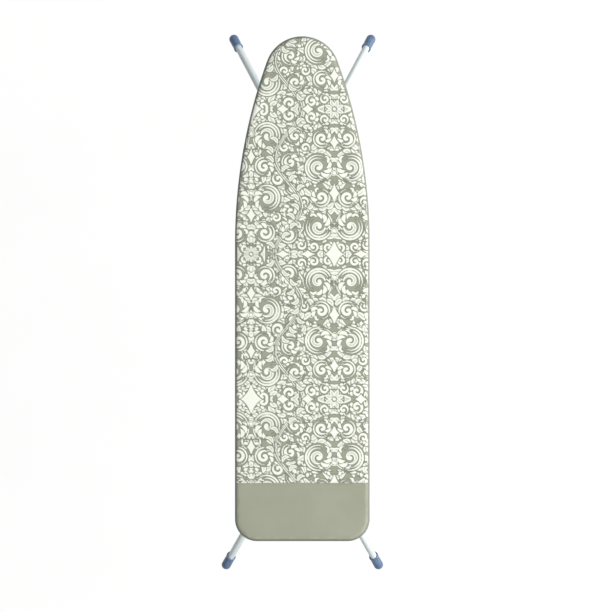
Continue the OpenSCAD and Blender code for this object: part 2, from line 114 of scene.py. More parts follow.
def rear_stations(step):
    """Right half from the seam to the end of the rear corner."""
    corner = arc(REAR_X, REAR_Y + CORNER_R, CORNER_R, 0.0, -math.pi / 2, step)
    return np.vstack([right_side(SEAM_Y, REAR_Y + CORNER_R, step), corner[1:]])


def lengths(stations):
    """Distance of each station along the run."""
    return np.concatenate([[0], np.cumsum(np.hypot(*np.diff(stations[:, :2], axis=0).T))])


def inward(stations, inset):
    """x and y of the stations moved inwards."""
    return stations[:, 0] - inset * stations[:, 2], stations[:, 1] - inset * stations[:, 3]


FRONT_LEN = lengths(front_stations(4))[-1]
REAR_LEN = lengths(rear_stations(4))[-1]
PERIMETER = 2 * (FRONT_LEN + REAR_LEN) + 2 * REAR_X


# ---------------------------------------------------------------- waves of the cloth
def smooth(start, end, value):
    t = np.clip((value - start) / (end - start), 0, 1)
    return t * t * (3 - 2 * t)


# Gathers of the hem: (waves round the perimeter, amplitude). Whole numbers make them close.
GATHERS = ((61, 0.28), (97, 0.34), (139, 0.42), (188, 0.42), (233, 0.34), (287, 0.22))
phase_rng = np.random.RandomState(5)
GATHER_PHASES = [phase_rng.uniform(0, 2 * math.pi) for _ in GATHERS]
GATHER_HEIGHT = 1.75

# Slight waves over the pad: amplitude, length in x, length in y, phase
PAD_WAVES = ((0.22, 41, 97, 0.6), (0.20, -88, 63, 2.1), (0.13, 23, -31, 0.0), (0.10, 37, 19, 1.0))


def gather(stations, t):
    """Gathers at perimeter coordinate t: 0 at the right seam, growing towards the nose.

    They are stronger where the outline faces along the board than on its long sides.
    """
    waves = sum(size * np.sin(2 * math.pi * count * t / PERIMETER + phase)
                for (count, size), phase in zip(GATHERS, GATHER_PHASES))
    return waves * (0.62 + 0.55 * np.sqrt(np.abs(stations[:, 3])))


def undulate(x, y):
    return sum(size * np.sin(x / length_x + y / length_y + phase)
               for size, length_x, length_y, phase in PAD_WAVES)


# ---------------------------------------------------------------- mesh helpers
def make(name, verts, faces, slot, body="board_top", replaced=None):
    """A smooth mesh object that rides on a body of the frame."""
    mesh = bpy.data.meshes.new(name)
    verts = [tuple(v) for v in np.asarray(verts, float) * MM]
    mesh.from_pydata(verts, [], [tuple(int(i) for i in face) for face in faces])
    mesh.validate(verbose=False)
    bm = bmesh.new()
    bm.from_mesh(mesh)
    bmesh.ops.recalc_face_normals(bm, faces=bm.faces)
    bm.to_mesh(mesh)
    bm.free()
    mesh.polygons.foreach_set("use_smooth", [True] * len(mesh.polygons))
    mesh.update()
    ob = bpy.data.objects.new(name, mesh)
    bpy.context.scene.collection.objects.link(ob)
    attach(ob, body)
    if replaced:
        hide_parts(replaced)
    return ob


def add_floats(ob, name, values):
    layer = ob.data.attributes.new(name, "FLOAT", "POINT")
    layer.data.foreach_set("value", np.asarray(values, np.float32))


def add_vectors(ob, name, values):
    layer = ob.data.attributes.new(name, "FLOAT_VECTOR", "POINT")
    layer.data.foreach_set("vector", np.asarray(values, np.float32).ravel())


def ring_quads(a, b):
    """Quads between two closed rings of vertex numbers."""
    count = len(a)
    return [(a[k], a[(k + 1) % count], b[(k + 1) % count], b[k]) for k in range(count)]


def row_quads(a, b):
    """Quads between two open rows of vertex numbers."""
    return [(a[j], b[j], b[j + 1], a[j + 1]) for j in range(len(a) - 1)]


def fan(point, row):
    return [(point, row[j], row[j + 1]) for j in range(len(row) - 1)]


def tube_mesh(path, radius, sides, closed=False, twist=0.0):
    """Tube along a path, with domed ends when open. radius is a number or one per point."""
    path = np.asarray(path, float)
    count = len(path)
    radii = np.full(count, radius, float)
    if closed:
        tangents = np.roll(path, -1, 0) - np.roll(path, 1, 0)
    else:
        tangents = np.gradient(path, axis=0)
    tangents /= np.linalg.norm(tangents, axis=1)[:, None]

    # Carry one normal along the path so that the tube doesn't spin.
    helper = np.array([0, 0, 1.0]) if abs(tangents[0][2]) < 0.9 else np.array([1.0, 0, 0])
    normal = helper - tangents[0] * (helper @ tangents[0])
    normals = np.zeros_like(path)
    for i in range(count):
        normal = normal - tangents[i] * (normal @ tangents[i])
        normal /= np.linalg.norm(normal)
        normals[i] = normal
    sideways = np.cross(tangents, normals)

    turn = np.linspace(0, 2 * math.pi, sides, endpoint=False)
    turn = (turn[None, :] + twist * np.arange(count)[:, None])[..., None]
    spokes = np.cos(turn) * normals[:, None, :] + np.sin(turn) * sideways[:, None, :]
    verts = (path[:, None, :] + radii[:, None, None] * spokes).reshape(-1, 3)
    rings = [range(i * sides, (i + 1) * sides) for i in range(count)]
    faces = []
    for i in range(count if closed else count - 1):
        faces += ring_quads(rings[i], rings[(i + 1) % count])
    if not closed:
        first_end = path[0] - tangents[0] * radii[0] * 0.5
        last_end = path[-1] + tangents[-1] * radii[-1] * 0.5
        first = len(verts)
        verts = np.vstack([verts, first_end, last_end])
        for k in range(sides):
            following = (k + 1) % sides
            faces.append((first, following, k))
            faces.append((first + 1, rings[-1][k], rings[-1][following]))
    return verts, faces


def lathe(profile, origin, axis, up, sides):
    """Surface of revolution. profile: (along, radius), starting and ending on the axis.

    axis and up are perpendicular unit vectors.
    """
    axis, up = np.array(axis, float), np.array(up, float)
    sideways = np.cross(axis, up)
    verts, faces, rings = [], [], []
    for along, radius in profile:
        count = sides if radius > 0 else 1
        rings.append(range(len(verts), len(verts) + count))
        for k in range(count):
            a = 2 * math.pi * k / sides
            spoke = up * math.cos(a) + sideways * math.sin(a)
            verts.append(origin + axis * along + spoke * radius)
    for a, b in zip(rings[:-1], rings[1:]):
        for k in range(sides):
            following = (k + 1) % sides
            if len(a) == 1:
                faces.append((a[0], b[k], b[following]))
            elif len(b) == 1:
                faces.append((a[k], b[0], a[following]))
            else:
                faces.append((a[k], b[k], b[following], a[following]))
    return np.array(verts), faces


def merge(parts):
    verts, faces, offset = [], [], 0
    for part_verts, part_faces in parts:
        verts.append(part_verts)
        faces += [tuple(i + offset for i in face) for face in part_faces]
        offset += len(part_verts)
    return np.vstack(verts), faces


# ---------------------------------------------------------------- the print
# A scroll repeat, mirrored both ways, in mm
CELL_W, CELL_H = 226.0, 394.0      # from one mirror line to the next
MIRROR_AT_X, MIRROR_AT_Y = 87.0, 130.0  # where two mirror lines cross
HALO = 2.3                         # sage gap round a cream shape
CHUNK = 64                         # discs measured at a time, to save memory


def folded(value, origin, size):
    return np.abs(((value - origin) / size + 1.0) % 2.0 - 1.0) * size


def discs(x, y, radius):
    return np.stack(np.broadcast_arrays(x, y, radius), 1)


def depth_in(x, y, shape):
    """Depth of points inside a union of discs, negative outside."""
    depth = np.full(len(x), -1e3)
    for k in range(0, len(shape), CHUNK):
        c = shape[k:k + CHUNK]
        away = np.hypot(x[:, None] - c[:, 0], y[:, None] - c[:, 1])
        depth = np.maximum(depth, (c[:, 2] - away).max(1))
    return depth


class Print:
    """Cream shapes on sage.

    depth is a signed distance in mm, positive in cream; vein marks thin lines inside.
    Radii, widths and halos are in mm and angles in radians.
    """

    def __init__(self, x, y):
        self.x, self.y = x, y
        self.depth = np.full(x.shape, -4.0)
        self.vein = np.zeros(x.shape)

    def near(self, x, y, reach):
        return np.nonzero((np.abs(self.x - x) < reach) & (np.abs(self.y - y) < reach))[0]

    def lay(self, idx, depth, halo):
        """Lay a shape, and the gap round it, over what is there."""
        self.depth[idx] = np.maximum(np.minimum(self.depth[idx], -depth - halo), depth)
        self.vein[idx] = np.where(depth > -halo, 0.0, self.vein[idx])

    def stroke(self, shape, halo=HALO, vein=None):
        """shape: discs x, y, radius. vein: (from, to), the shares a midline runs between."""
        shape = np.asarray(shape, float)
        low = (shape[:, :2] - shape[:, 2:]).min(0) - halo - 3
        high = (shape[:, :2] + shape[:, 2:]).max(0) + halo + 3
        idx = np.nonzero((self.x > low[0]) & (self.x < high[0])
                         & (self.y > low[1]) & (self.y < high[1]))[0]
        x, y = self.x[idx], self.y[idx]
        depth = depth_in(x, y, shape)
        self.lay(idx, depth, halo)
        if vein:
            line = shape[int(vein[0] * len(shape)):int(vein[1] * len(shape))].copy()
            line[:, 2] = 1.25 * np.sin(np.linspace(0.15, math.pi - 0.15, len(line))) ** 0.5
            mark = np.clip(0.5 + depth_in(x, y, line) / 2.2, 0, 1) * (depth > 0)
            self.vein[idx] = np.maximum(self.vein[idx], mark)

    def clear(self, x, y, radius):
        idx = self.near(x, y, radius + 5)
        outside = np.hypot(self.x[idx] - x, self.y[idx] - y) - radius
        self.depth[idx] = np.minimum(self.depth[idx], outside)
        self.vein[idx] = np.where(outside < 0, 0, self.vein[idx])

    def crescent(self, x, y, radii, angles, width, widest):
        """A tapered crescent round a centre; widest is where along it the width peaks."""
        count = max(12, int(abs(angles[1] - angles[0]) * max(radii) / 1.6))
        t = np.linspace(0, 1, count)
        a = angles[0] + (angles[1] - angles[0]) * t
        r = radii[0] + (radii[1] - radii[0]) * t
        shifted = t ** (math.log(0.5) / math.log(widest))
        half = width * np.sin(math.pi * np.clip(shifted, 0.02, 0.98)) ** 0.8
        self.stroke(discs(x + r * np.cos(a), y + r * np.sin(a), half), halo=2.0)

    def leaf(self, start, end, width, bow=0.25, vein=(0.12, 0.8), halo=HALO):
        t = np.linspace(0, 1, 26)
        dx, dy = end[0] - start[0], end[1] - start[1]
        bend = bow * np.sin(math.pi * t)
        half = width * np.sin(math.pi * np.clip(t * 0.94 + 0.03, 0, 1)) ** 0.85
        half = half * (1.15 - 0.45 * t)
        self.stroke(discs(start[0] + dx * t - dy * bend, start[1] + dy * t + dx * bend, half),
                    halo=halo, vein=vein)

    def volute(self, x, y, radius, mouth, hand, crescents, core, fat, turns, tail, vein=None):
        """A scroll round a ball, with crescents outside and a tail that runs out.

        core is the spiral's share of the radius, fat its width as a share of the core,
        mouth the angle it opens at, and hand 1 or -1 the way it turns.
        """
        self.clear(x, y, radius + 0.5)
        core = radius * core

        s = np.linspace(0, 1, max(10, int(radius * tail / 1.5)))
        a = mouth - hand * (s * tail * 1.5 - 0.25)
        r = radius * 0.90 * (1 + 0.30 * s ** 2)
        half = radius * 0.10 * (1 - s) ** 0.6 + 0.5
        self.stroke(discs(x + r * np.cos(a), y + r * np.sin(a), half))

        # lobes that fill the open side, round end out and tail in towards the eye
        lobes = int(2 + radius / 12)
        for k in range(lobes):
            q = (k + 0.5) / lobes
            a = mouth - hand * (0.10 + 2.5 * q)
            size = 1 - 0.55 * abs(2 * q - 0.7)
            outer = radius * (0.93 - 0.05 * q)
            inner = radius * (0.93 - 0.62 * size)
            inner_a = a + hand * 0.62
            self.leaf((x + outer * math.cos(a), y + outer * math.sin(a)),
                      (x + inner * math.cos(inner_a), y + inner * math.sin(inner_a)),
                      radius * 1.22 / lobes * (0.72 + 0.28 * size) * 0.62,
                      bow=-0.30 * hand, vein=None, halo=2.1)

        for k in range(crescents):
            half = (radius - core) / crescents / 2
            r = radius - half * (2 * k + 1)
            start = mouth - hand * (0.25 - 0.42 * k)
            end = start + hand * math.pi * (1.42 - 0.16 * k)
            self.crescent(x, y, (r, r - half * 0.9), (start, end), half - 1.0, widest=0.42)

        t = np.linspace(0, 1, int(core * 8))
        half = core * fat * np.minimum(1, 0.25 + 3.2 * t) * (1 - 0.50 * t)
        r = (core - core * fat) * (1 - t ** 1.25) + 0.02
        a = mouth + hand * 2 * math.pi * turns * t
        spiral = discs(x + r * np.cos(a), y + r * np.sin(a), half)[r > core * 0.17]
        end = spiral[-1]
        eye = [end[0] * 0.6 + x * 0.4, end[1] * 0.6 + y * 0.4, core * fat * 0.85]
        self.stroke(np.vstack([spiral, [eye]]), vein=vein)

    def star(self, x, y, half_w, half_h):
        """A four-pointed star with hollow sides."""
        power = 0.72
        idx = self.near(x, y, max(half_w, half_h) + 4)
        u, v = np.abs(self.x[idx] - x) / half_w, np.abs(self.y[idx] - y) / half_h
        level = (u ** power + v ** power) ** (1 / power)
        self.lay(idx, (1 - level) * min(half_w, half_h) * 0.55, HALO)

    def bead(self, x, y, radius):
        self.stroke([[x, y, radius]], halo=1.2)

    def ringed_bead(self, x, y, radius):
        ring = radius + 3.0
        self.clear(x, y, ring + 1.2)
        a = np.linspace(0, 2 * math.pi, 40)
        self.stroke(discs(x + ring * np.cos(a), y + ring * np.sin(a), 1.3), halo=1.2)
        self.bead(x, y, radius)

    def rosette(self, x, y, radius, petals):
        self.clear(x, y, radius + 1)
        for k in range(petals):
            a = 2 * math.pi * (k + 0.5) / petals
            root, tip = [(x + share * radius * math.cos(a), y + share * radius * math.sin(a))
                         for share in (0.30, 1.0)]
            self.leaf(root, tip, radius * math.pi / petals * 0.58, bow=0.0, halo=1.3)
        for k in range(petals):
            a = 2 * math.pi * k / petals
            self.stroke([[x + 0.86 * radius * math.cos(a), y + 0.86 * radius * math.sin(a),
                          radius * 0.075]], halo=1.0)
        self.bead(x, y, radius * 0.17)


# Placed scrolls: x, y, radius
SCROLLS = [
    (43, 74, 39), (44, 236, 39), (CELL_W - 43, 152, 39), (CELL_W - 44, 322, 39),
    (36, 154, 28), (34, 314, 27), (124, 54, 27), (CELL_W - 38, 58, 29), (117, 118, 24),
    (112, 182, 23), (120, 250, 26), (CELL_W - 35, 238, 28), (106, 322, 26), (62, 372, 20),
    (122, 378, 20), (CELL_W - 32, 388, 19),
]
# Smaller ones dropped into the gaps: radius, tries
FILLERS = ((20, 900), (16, 2500), (12, 3000))
# Settings of a volute by the radius it has to exceed; anything smaller is a pair of commas.
VOLUTES = {
    35: dict(crescents=2, core=0.62, fat=0.27, turns=1.25, tail=0.9, vein=(0.10, 0.7)),
    21: dict(crescents=1, core=0.76, fat=0.25, turns=1.3, tail=0.8),
    15: dict(crescents=0, core=1.0, fat=0.24, turns=1.3, tail=0.8),
}
# Stars on the mirror lines: x and y as shares of the cell, half width, half height
STARS = (
    (0, 0, 26, 40), (1, 1, 30, 44), (0, 0.42, 15, 30), (1, 0.27, 13, 24), (1, 0.67, 12, 26),
    (0, 0.77, 13, 22), (0.32, 0, 22, 12), (0.32, 1, 18, 15), (0.62, 0, 22, 12), (0.62, 1, 18, 15),
)
# Ringed beads: x and y as shares of the cell, radius
BEADS = ((0, 0.16, 5.0), (0, 0.56, 5.0), (1, 0.42, 4.6), (1, 0.83, 4.6))


def draw_ground(design, rng):
    """Small leaves on a staggered grid."""
    pitch = 18.0
    for row_y in np.arange(8, CELL_H, pitch):
        stagger = (int(row_y / pitch) % 2) * pitch / 2
        for column_x in np.arange(8 + stagger, CELL_W, pitch):
            a = rng.uniform(0, 2 * math.pi)
            shift = rng.uniform(-2, 2, 2)
            half = rng.uniform(11.5, 15.5)
            x, y = column_x + shift[0], row_y + shift[1]
            dx, dy = half * math.cos(a), half * math.sin(a)
            design.leaf((x - dx, y - dy), (x + dx, y + dy),
                        rng.uniform(6.6, 8.2), bow=rng.uniform(-.4, .4), halo=2.2)


def draw_scrolls(design, rng):
    circles = list(SCROLLS)
    for radius, tries in FILLERS:
        for _ in range(tries):
            x, y = rng.uniform(radius, CELL_W - radius), rng.uniform(radius, CELL_H - radius)
            if all(math.hypot(x - c[0], y - c[1]) > radius + c[2] + 0.4 for c in circles):
                circles.append((x, y, radius))
    for k, (x, y, radius) in sorted(enumerate(circles), key=lambda entry: entry[1][2]):
        hand = 1 if (k * 7 + int(x)) % 2 else -1
        # from the nearer mirror line, a random turn, and a quarter turn for two in three
        mouth = math.pi if x < CELL_W / 2 else 0.0
        mouth = mouth + rng.uniform(-0.9, 0.9) + (0.5 * math.pi if k % 3 else 0)
        settings = next((v for least, v in VOLUTES.items() if radius > least), None)
        if settings:
            design.volute(x, y, radius, mouth, hand, **settings)
        else:
            for s in (-1, 1):
                design.crescent(x, y, (radius * 0.62, radius * 0.2),
                                (mouth + s * 0.5, mouth + s * 3.3), radius * 0.34, widest=0.7)


def stem_x(t):
    return CELL_W * 0.56 + 36 * np.cos(3 * math.pi * t)


def draw_stem(design):
    """A winding double stem with leaves off it."""
    t = np.linspace(0, 1, 260)
    for side in (-1, 1):
        design.stroke(discs(stem_x(t) + side * 3.2, CELL_H * t, 1.5), halo=2.0)
    for t in np.linspace(0.04, 0.96, 15):
        side = 1 if int(t * 97) % 2 else -1
        x, y = stem_x(t), CELL_H * t
        design.leaf((x + side * 6, y), (x + side * 27, y + 13), 5.6, bow=0.3 * side)


def scroll_print(x, y):
    """Depth and vein of the print at points of the flat cloth."""
    rng = np.random.RandomState(11)
    design = Print(folded(x, MIRROR_AT_X, CELL_W), folded(y, MIRROR_AT_Y, CELL_H))
    draw_ground(design, rng)
    draw_scrolls(design, rng)
    draw_stem(design)
    design.rosette(0, CELL_H, 27, petals=8)
    design.rosette(CELL_W, 0, 23, petals=10)
    for x, y, half_w, half_h in STARS:
        design.star(CELL_W * x, CELL_H * y, half_w, half_h)
    for x, y, radius in BEADS:
        design.ringed_bead(CELL_W * x, CELL_H * y, radius)
    return design.depth, design.vein


# ---------------------------------------------------------------- the cloth cover
def quarter_round(inset0, z0, inset1, z1, degrees):
    """Points of a quarter ellipse: 0 degrees at the first point, 90 at the second."""
    return [(inset1 + (inset0 - inset1) * (1 - math.sin(math.radians(a))),
             z0 + (z1 - z0) * (1 - math.cos(math.radians(a)))) for a in degrees]


EDGE_D = 14.0                      # width of the rounded padded edge
# Section of the cloth: inset from the outline, height from the board top
PROFILE = np.array(
    # over the padded edge
    quarter_round(EDGE_D, 0.0, 0.0, -10.5, (0, 14, 28, 42, 56, 70, 82, 90)) + [
        # down the side and in under the skirt
        (0.15, -15.0), (0.5, -20.0), (1.1, -24.2), (2.5, -27.3), (5.2, -28.6), (9.5, -28.5),
        (16.0, -27.9), (23.0, -27.0), (29.0, -26.3),
        # round the cord casing
        (32.4, -26.9), (35.2, -27.4), (37.4, -26.2), (37.9, -24.2), (36.4, -22.5),
        (33.8, -22.4), (31.9, -23.8),
        # back along the inside
        (29.0, -25.1), (23.0, -25.8), (16.0, -26.7), (9.5, -27.3), (5.6, -27.43),
        (3.7, -27.1), (2.6, -25.0), (1.9, -20.0), (1.5, -15.0),
    ] + quarter_round(EDGE_D, -1.2, 1.3, -11.0, (90, 66, 36, 0)))
PROFILE_RUN = lengths(PROFILE)     # distance along the section
WAVED_RINGS = 9                    # the first rings follow the waves over the pad
GATHERED_RINGS = range(12, len(PROFILE) - 9)


def cover_ring(stations, t, k):
    """Ring k of the section, with gathers at perimeter coordinate t."""
    inset, height = PROFILE[k]
    waves = gather(stations, t)
    lift = GATHER_HEIGHT * smooth(6.0, 33.0, inset) * (k in GATHERED_RINGS)
    # light vertical pull marks on the lower side
    pull = 0.30 * waves * smooth(-14.0, -23.0, height) * (k < GATHERED_RINGS.start)
    x, y = inward(stations, inset + 0.2 * waves * lift + pull)
    z = TOP_Z + height + lift * waves
    if k < WAVED_RINGS:
        z = z + undulate(*inward(stations, EDGE_D)) * (1 - k / WAVED_RINGS)
    return np.stack([x, y, z], 1)


def flat_cloth(stations, k):
    """Where the cloth of ring k lay before it was folded over the edge."""
    return np.stack(inward(stations, EDGE_D), 1) + stations[:, 2:4] * PROFILE_RUN[k]


def cover_loop(front, step, columns):
    """Stations of an open loop, their perimeter coordinates, and left and right numbers.

    Station i of the right half, and its mirror image, are loop entries right[i] and left[i].
    """
    half = front_stations(step) if front else rear_stations(step)
    run = lengths(half)
    mirrored = half * MIRROR_X
    steps = np.arange(len(half))
    if front:
        # left seam, nose tip, right seam
        loop = np.vstack([mirrored[:0:-1], half])
        t = np.concatenate([(FRONT_LEN + run)[:0:-1], FRONT_LEN - run])
        return loop, t, steps[-1] - steps, steps[-1] + steps
    # left seam, rear edge, right seam
    x = np.linspace(-REAR_X, REAR_X, columns + 1)[1:-1]
    loop = np.vstack([mirrored, rear_edge(x), half[::-1]])
    left_t = 2 * FRONT_LEN + run
    t = np.concatenate([left_t, left_t[-1] + (x + REAR_X), PERIMETER - run[::-1]])
    return loop, t, steps, len(loop) - 1 - steps


def build_cover(name, front, step, columns, slot, replaced):
    """One half of the cover, from the nose or the rear edge to the seam."""
    loop, t, left, right = cover_loop(front, step, columns)
    last, size, ring_count = len(left) - 1, len(loop), len(PROFILE)
    rings = [cover_ring(loop, t, k) for k in range(ring_count)]

    # rows of vertices across the flat top
    across = np.linspace(-1, 1, columns + 1)[1:-1]
    rows, top = {}, []
    following = ring_count * size
    for i in range(1, last + 1) if front else range(last):
        edge_x, edge_y, _ = rings[0][right[i]]
        x = edge_x * across
        y = np.full(len(x), edge_y)
        top.append(np.stack([x, y, TOP_Z + undulate(x, y)], 1))
        rows[i] = [left[i], *range(following, following + len(x)), right[i]]
        following += len(x)
    if not front:
        rows[last] = list(range(left[last], right[last] + 1))
    top = np.vstack(top)
    verts = np.vstack(rings + [top])
    seam_dip = -0.9 * np.exp(-((verts[:, 1] - SEAM_Y) / 2.0) ** 2)
    verts[:, 2] += seam_dip * (verts[:, 2] > TOP_Z - 14)

    faces = []
    for k in range(ring_count - 1):
        ring = range(k * size, (k + 1) * size)
        faces += row_quads(ring, range((k + 1) * size, (k + 2) * size))
    if front:
        faces += fan(left[0], rows[1])
    for i in range(1 if front else 0, last):
        faces += row_quads(rows[i], rows[i + 1])
    # inner face of the top, one polygon per row
    offset = (ring_count - 1) * size
    inner = [[offset + left[i], offset + right[i]] for i in range(last + 1)]
    if front:
        faces += fan(inner[0][0], inner[1])
    for i in range(1, last) if front else range(last - 1):
        faces += row_quads(inner[i], inner[i + 1])
    if not front:
        (before_left, before_right), (end_left, end_right) = inner[-2:]
        faces.append([before_left, *range(end_left, end_right + 1), before_right])
    # closed edge at the seam
    seam = last if front else 0
    faces.append(rows[seam] + [k * size + right[seam] for k in range(1, ring_count)]
                 + [k * size + left[seam] for k in range(ring_count - 1, 0, -1)])

    ob = make(name, verts, faces, slot, replaced=replaced)
    flat = np.vstack([flat_cloth(loop, k) for k in range(ring_count)] + [top[:, :2]])
    if front:
        depth, vein = scroll_print(flat[:, 0], flat[:, 1])
        add_floats(ob, "print_f", depth)
        add_floats(ob, "print_vein", vein)
    add_vectors(ob, "cloth", np.column_stack([flat, np.zeros(len(flat))]) * MM)
    add_floats(ob, "fold", np.concatenate([np.repeat(PROFILE_RUN, size), np.zeros(len(top))]))
    return ob


# ---------------------------------------------------------------- cord, toggle and eyelets
CASING_Y = REAR_Y + 38             # just inside the casing of the rear edge
TAIL_LENGTH = 66                   # how far the cord's tails run on from there
TAIL_X = 9.5                       # half the space between the tails
TAIL_Z = AXIS_Z + 4.6
TOGGLE = np.array([0, CASING_Y + 22, TAIL_Z])


def perimeter_path(step, inset, height, gap):
    """Path under the hem from the rear middle by the right side, nose and left side.

    It starts and ends at gap from the middle, and follows the gathers.
    """
    front, rear = front_stations(step), rear_stations(step)
    front_run, rear_run = lengths(front), lengths(rear)
    x = np.arange(gap, REAR_X, step)
    edge = rear_edge(x)
    edge_t = -rear_run[-1] - (REAR_X - x)
    stations = np.vstack([edge, rear[::-1], front[::-1][1:], (front * MIRROR_X)[1:],
                          (rear * MIRROR_X)[1:], (edge * MIRROR_X)[::-1]])
    t = np.concatenate([edge_t, -rear_run[::-1], (FRONT_LEN - front_run)[::-1][1:],
                        (FRONT_LEN + front_run)[1:], (2 * FRONT_LEN + rear_run)[1:],
                        (2 * FRONT_LEN - edge_t)[::-1]])
    waves = gather(stations, t)
    x, y = inward(stations, inset + 0.35 * waves)
    return np.stack([x, y, TOP_Z + height + GATHER_HEIGHT * waves], 1)


CASING_PATH = perimeter_path(step=4.0, inset=35.0, height=-24.9, gap=10.0)


def cord_tail(start, side):
    """The cord from the end of the casing towards the nose, spreading a little."""
    path = []
    for q in np.linspace(0, 1, 26):
        spread = 3.2 * side * max(0, q - 0.45) ** 1.3
        path.append((start[0] + (side * TAIL_X - start[0]) * min(1, q * 6) + spread,
                     start[1] + (CASING_Y + TAIL_LENGTH - start[1]) * q,
                     start[2] + (TAIL_Z - start[2]) * min(1, q * 4) - 2.2 * max(0, q - 0.5)))
    return np.array(path)


def build_cord():
    right, left = cord_tail(CASING_PATH[0], 1), cord_tail(CASING_PATH[-1], -1)
    path = np.vstack([right[::-1], CASING_PATH[1:-1], left])
    radii = 1.5 + 0.12 * np.sin(np.arange(len(path)) * 1.9)
    knot_half, knot_r = 3.4, 2.9
    knot = [(-knot_half, 0)]
    for a in np.linspace(0.3, math.pi - 0.3, 9):
        bulge = 1 + 0.12 * math.sin(5 * a)
        knot.append((-knot_half * math.cos(a), knot_r * math.sin(a) * bulge))
    knot.append((knot_half, 0))
    parts = [tube_mesh(path, radii, sides=8, twist=0.35)]
    for end in (right[-1], left[-1]):
        parts.append(lathe(knot, end, axis=(0, 1, 0), up=(0, 0, 1), sides=12))
    return make("hem_cord_braid", *merge(parts), "cord", replaced="hem_cord")


def ring_tube(x, y, z, radius_x, radius_z, points, thickness):
    """A closed ring that faces along the board."""
    a = np.linspace(0, 2 * math.pi, points, endpoint=False)
    path = np.stack([x + radius_x * np.cos(a), np.full(points, y), z + radius_z * np.sin(a)], 1)
    return tube_mesh(path, thickness, sides=8, closed=True)


# Toggle barrel: x from its middle, radius
TOGGLE_PROFILE = [
    (-14, 0), (-14, 3.6), (-13.2, 4.7), (-11.5, 5.3), (-8.5, 5.5), (-6.6, 5.5), (-6.0, 5.0),
    (-5.2, 5.0), (-4.6, 5.5), (4.6, 5.5), (5.2, 5.0), (6.0, 5.0), (6.6, 5.5), (9.0, 5.4),
    (9.6, 4.9), (9.6, 4.0), (12.6, 4.0), (13.6, 3.5), (14, 2.6), (14, 0),
]


def build_toggle():
    """A barrel across the tails, with a collar where each tail goes in and comes out."""
    x, y, z = TOGGLE
    parts = [lathe(TOGGLE_PROFILE, TOGGLE, axis=(1, 0, 0), up=(0, 0, 1), sides=32)]
    for side_x in (-TAIL_X, TAIL_X):
        for side_y in (-1, 1):
            parts.append(ring_tube(x + side_x, y + side_y * 4.7, z, radius_x=2.2, radius_z=2.2,
                                   points=20, thickness=0.7))
    return make("cord_toggle", *merge(parts), "toggle_plastic", replaced="cord_lock")


def build_eyelets():
    """Two eyelets where the cord leaves its casing."""
    parts = [ring_tube(end[0], CASING_Y + 0.3, end[2], radius_x=3.0, radius_z=2.6,
                       points=24, thickness=0.65) for end in (CASING_PATH[0], CASING_PATH[-1])]
    return make("cord_eyelets", *merge(parts), "dull_steel")


# ---------------------------------------------------------------- stitching
def stitches(points, directions, length, bulge=0.0):
    radii = 0.42 * np.array([0.7, 1, 1.05, 1, 0.7])
    q = np.linspace(-0.5, 0.5, 5)
    parts = []
    for point, direction in zip(points, directions):
        direction = direction / np.linalg.norm(direction)
        path = point + direction * (q * length)[:, None]
        path[:, 2] += bulge * (1 - (2 * q) ** 2)
        parts.append(tube_mesh(path, radii, sides=5))
    return merge(parts)


def build_seam_stitches():
    """A row across the plain cloth beside the seam."""
    end_x = HALF_W - 12
    x = np.arange(-end_x, end_x + .01, 4.4)
    y = np.full(len(x), SEAM_Y - 4.2)
    points = np.stack([x, y, TOP_Z + undulate(x, y) + 0.05], 1)
    directions = np.tile([1.0, 0, 0], (len(x), 1))
    mesh = stitches(points, directions, length=3.3, bulge=0.12)
    return make("seam_stitching", *mesh, "cover_plain")


def build_hem_stitches():
    """A row round the underside, beside the casing."""
    line = perimeter_path(step=4.6, inset=30.2, height=-26.75, gap=14.0)
    directions = np.gradient(line, axis=0)
    return make("hem_stitching", *stitches(line[1:-1], directions[1:-1], length=3.2),
                "cover_plain")


# ---------------------------------------------------------------- the pad
# Section of its edge: inset from the outline, height from the board top
PAD_PROFILE = [(15.0, -1.35), (9.5, -1.9), (5.2, -3.3), (2.9, -5.4), (2.1, -7.4), (2.6, -8.8),
               (3.4, -9.15), (12.0, -9.15)]
PAD_STEP, PAD_COLUMNS = 9.0, 30


def build_pad():
    """One crowned closed form under the cloth."""
    right = np.vstack([front_stations(PAD_STEP), rear_stations(PAD_STEP)[1:]])
    last = len(right) - 1
    x = np.linspace(-REAR_X, REAR_X, PAD_COLUMNS + 1)[1:-1]
    # nose tip, right side, rear edge, left side
    loop = np.vstack([right, rear_edge(x[::-1]), (right * MIRROR_X)[:0:-1]])
    size = len(loop)
    verts = []
    for inset, height in PAD_PROFILE:
        x, y = inward(loop, inset)
        verts.append(np.stack([x, y, np.full(size, TOP_Z + height)], 1))
    rings = [range(k * size, (k + 1) * size) for k in range(len(PAD_PROFILE))]
    faces = []
    for ring, below in zip(rings[:-1], rings[1:]):
        faces += ring_quads(ring, below)

    across = np.linspace(-1, 1, PAD_COLUMNS + 1)[1:-1]
    following = len(PAD_PROFILE) * size
    for k in (0, len(PAD_PROFILE) - 1):
        ring = rings[k]
        rows = {}
        for i in range(1, last):
            edge_x, edge_y, _ = verts[k][i]
            x, y = edge_x * across, np.full(len(across), edge_y)
            z = np.full(len(x), TOP_Z + PAD_PROFILE[k][1])
            if k == 0:
                z = z + undulate(x, y) * 0.6 - 0.05
            verts.append(np.stack([x, y, z], 1))
            rows[i] = [ring[size - i], *range(following, following + len(x)), ring[i]]
            following += len(x)
        rows[last] = list(ring[last:last + PAD_COLUMNS + 1])[::-1]
        faces += fan(ring[0], rows[1])
        for i in range(1, last):
            faces += row_quads(rows[i], rows[i + 1])
    return make("pad_felt", np.vstack(verts), faces, "pad_foam", replaced="pad")


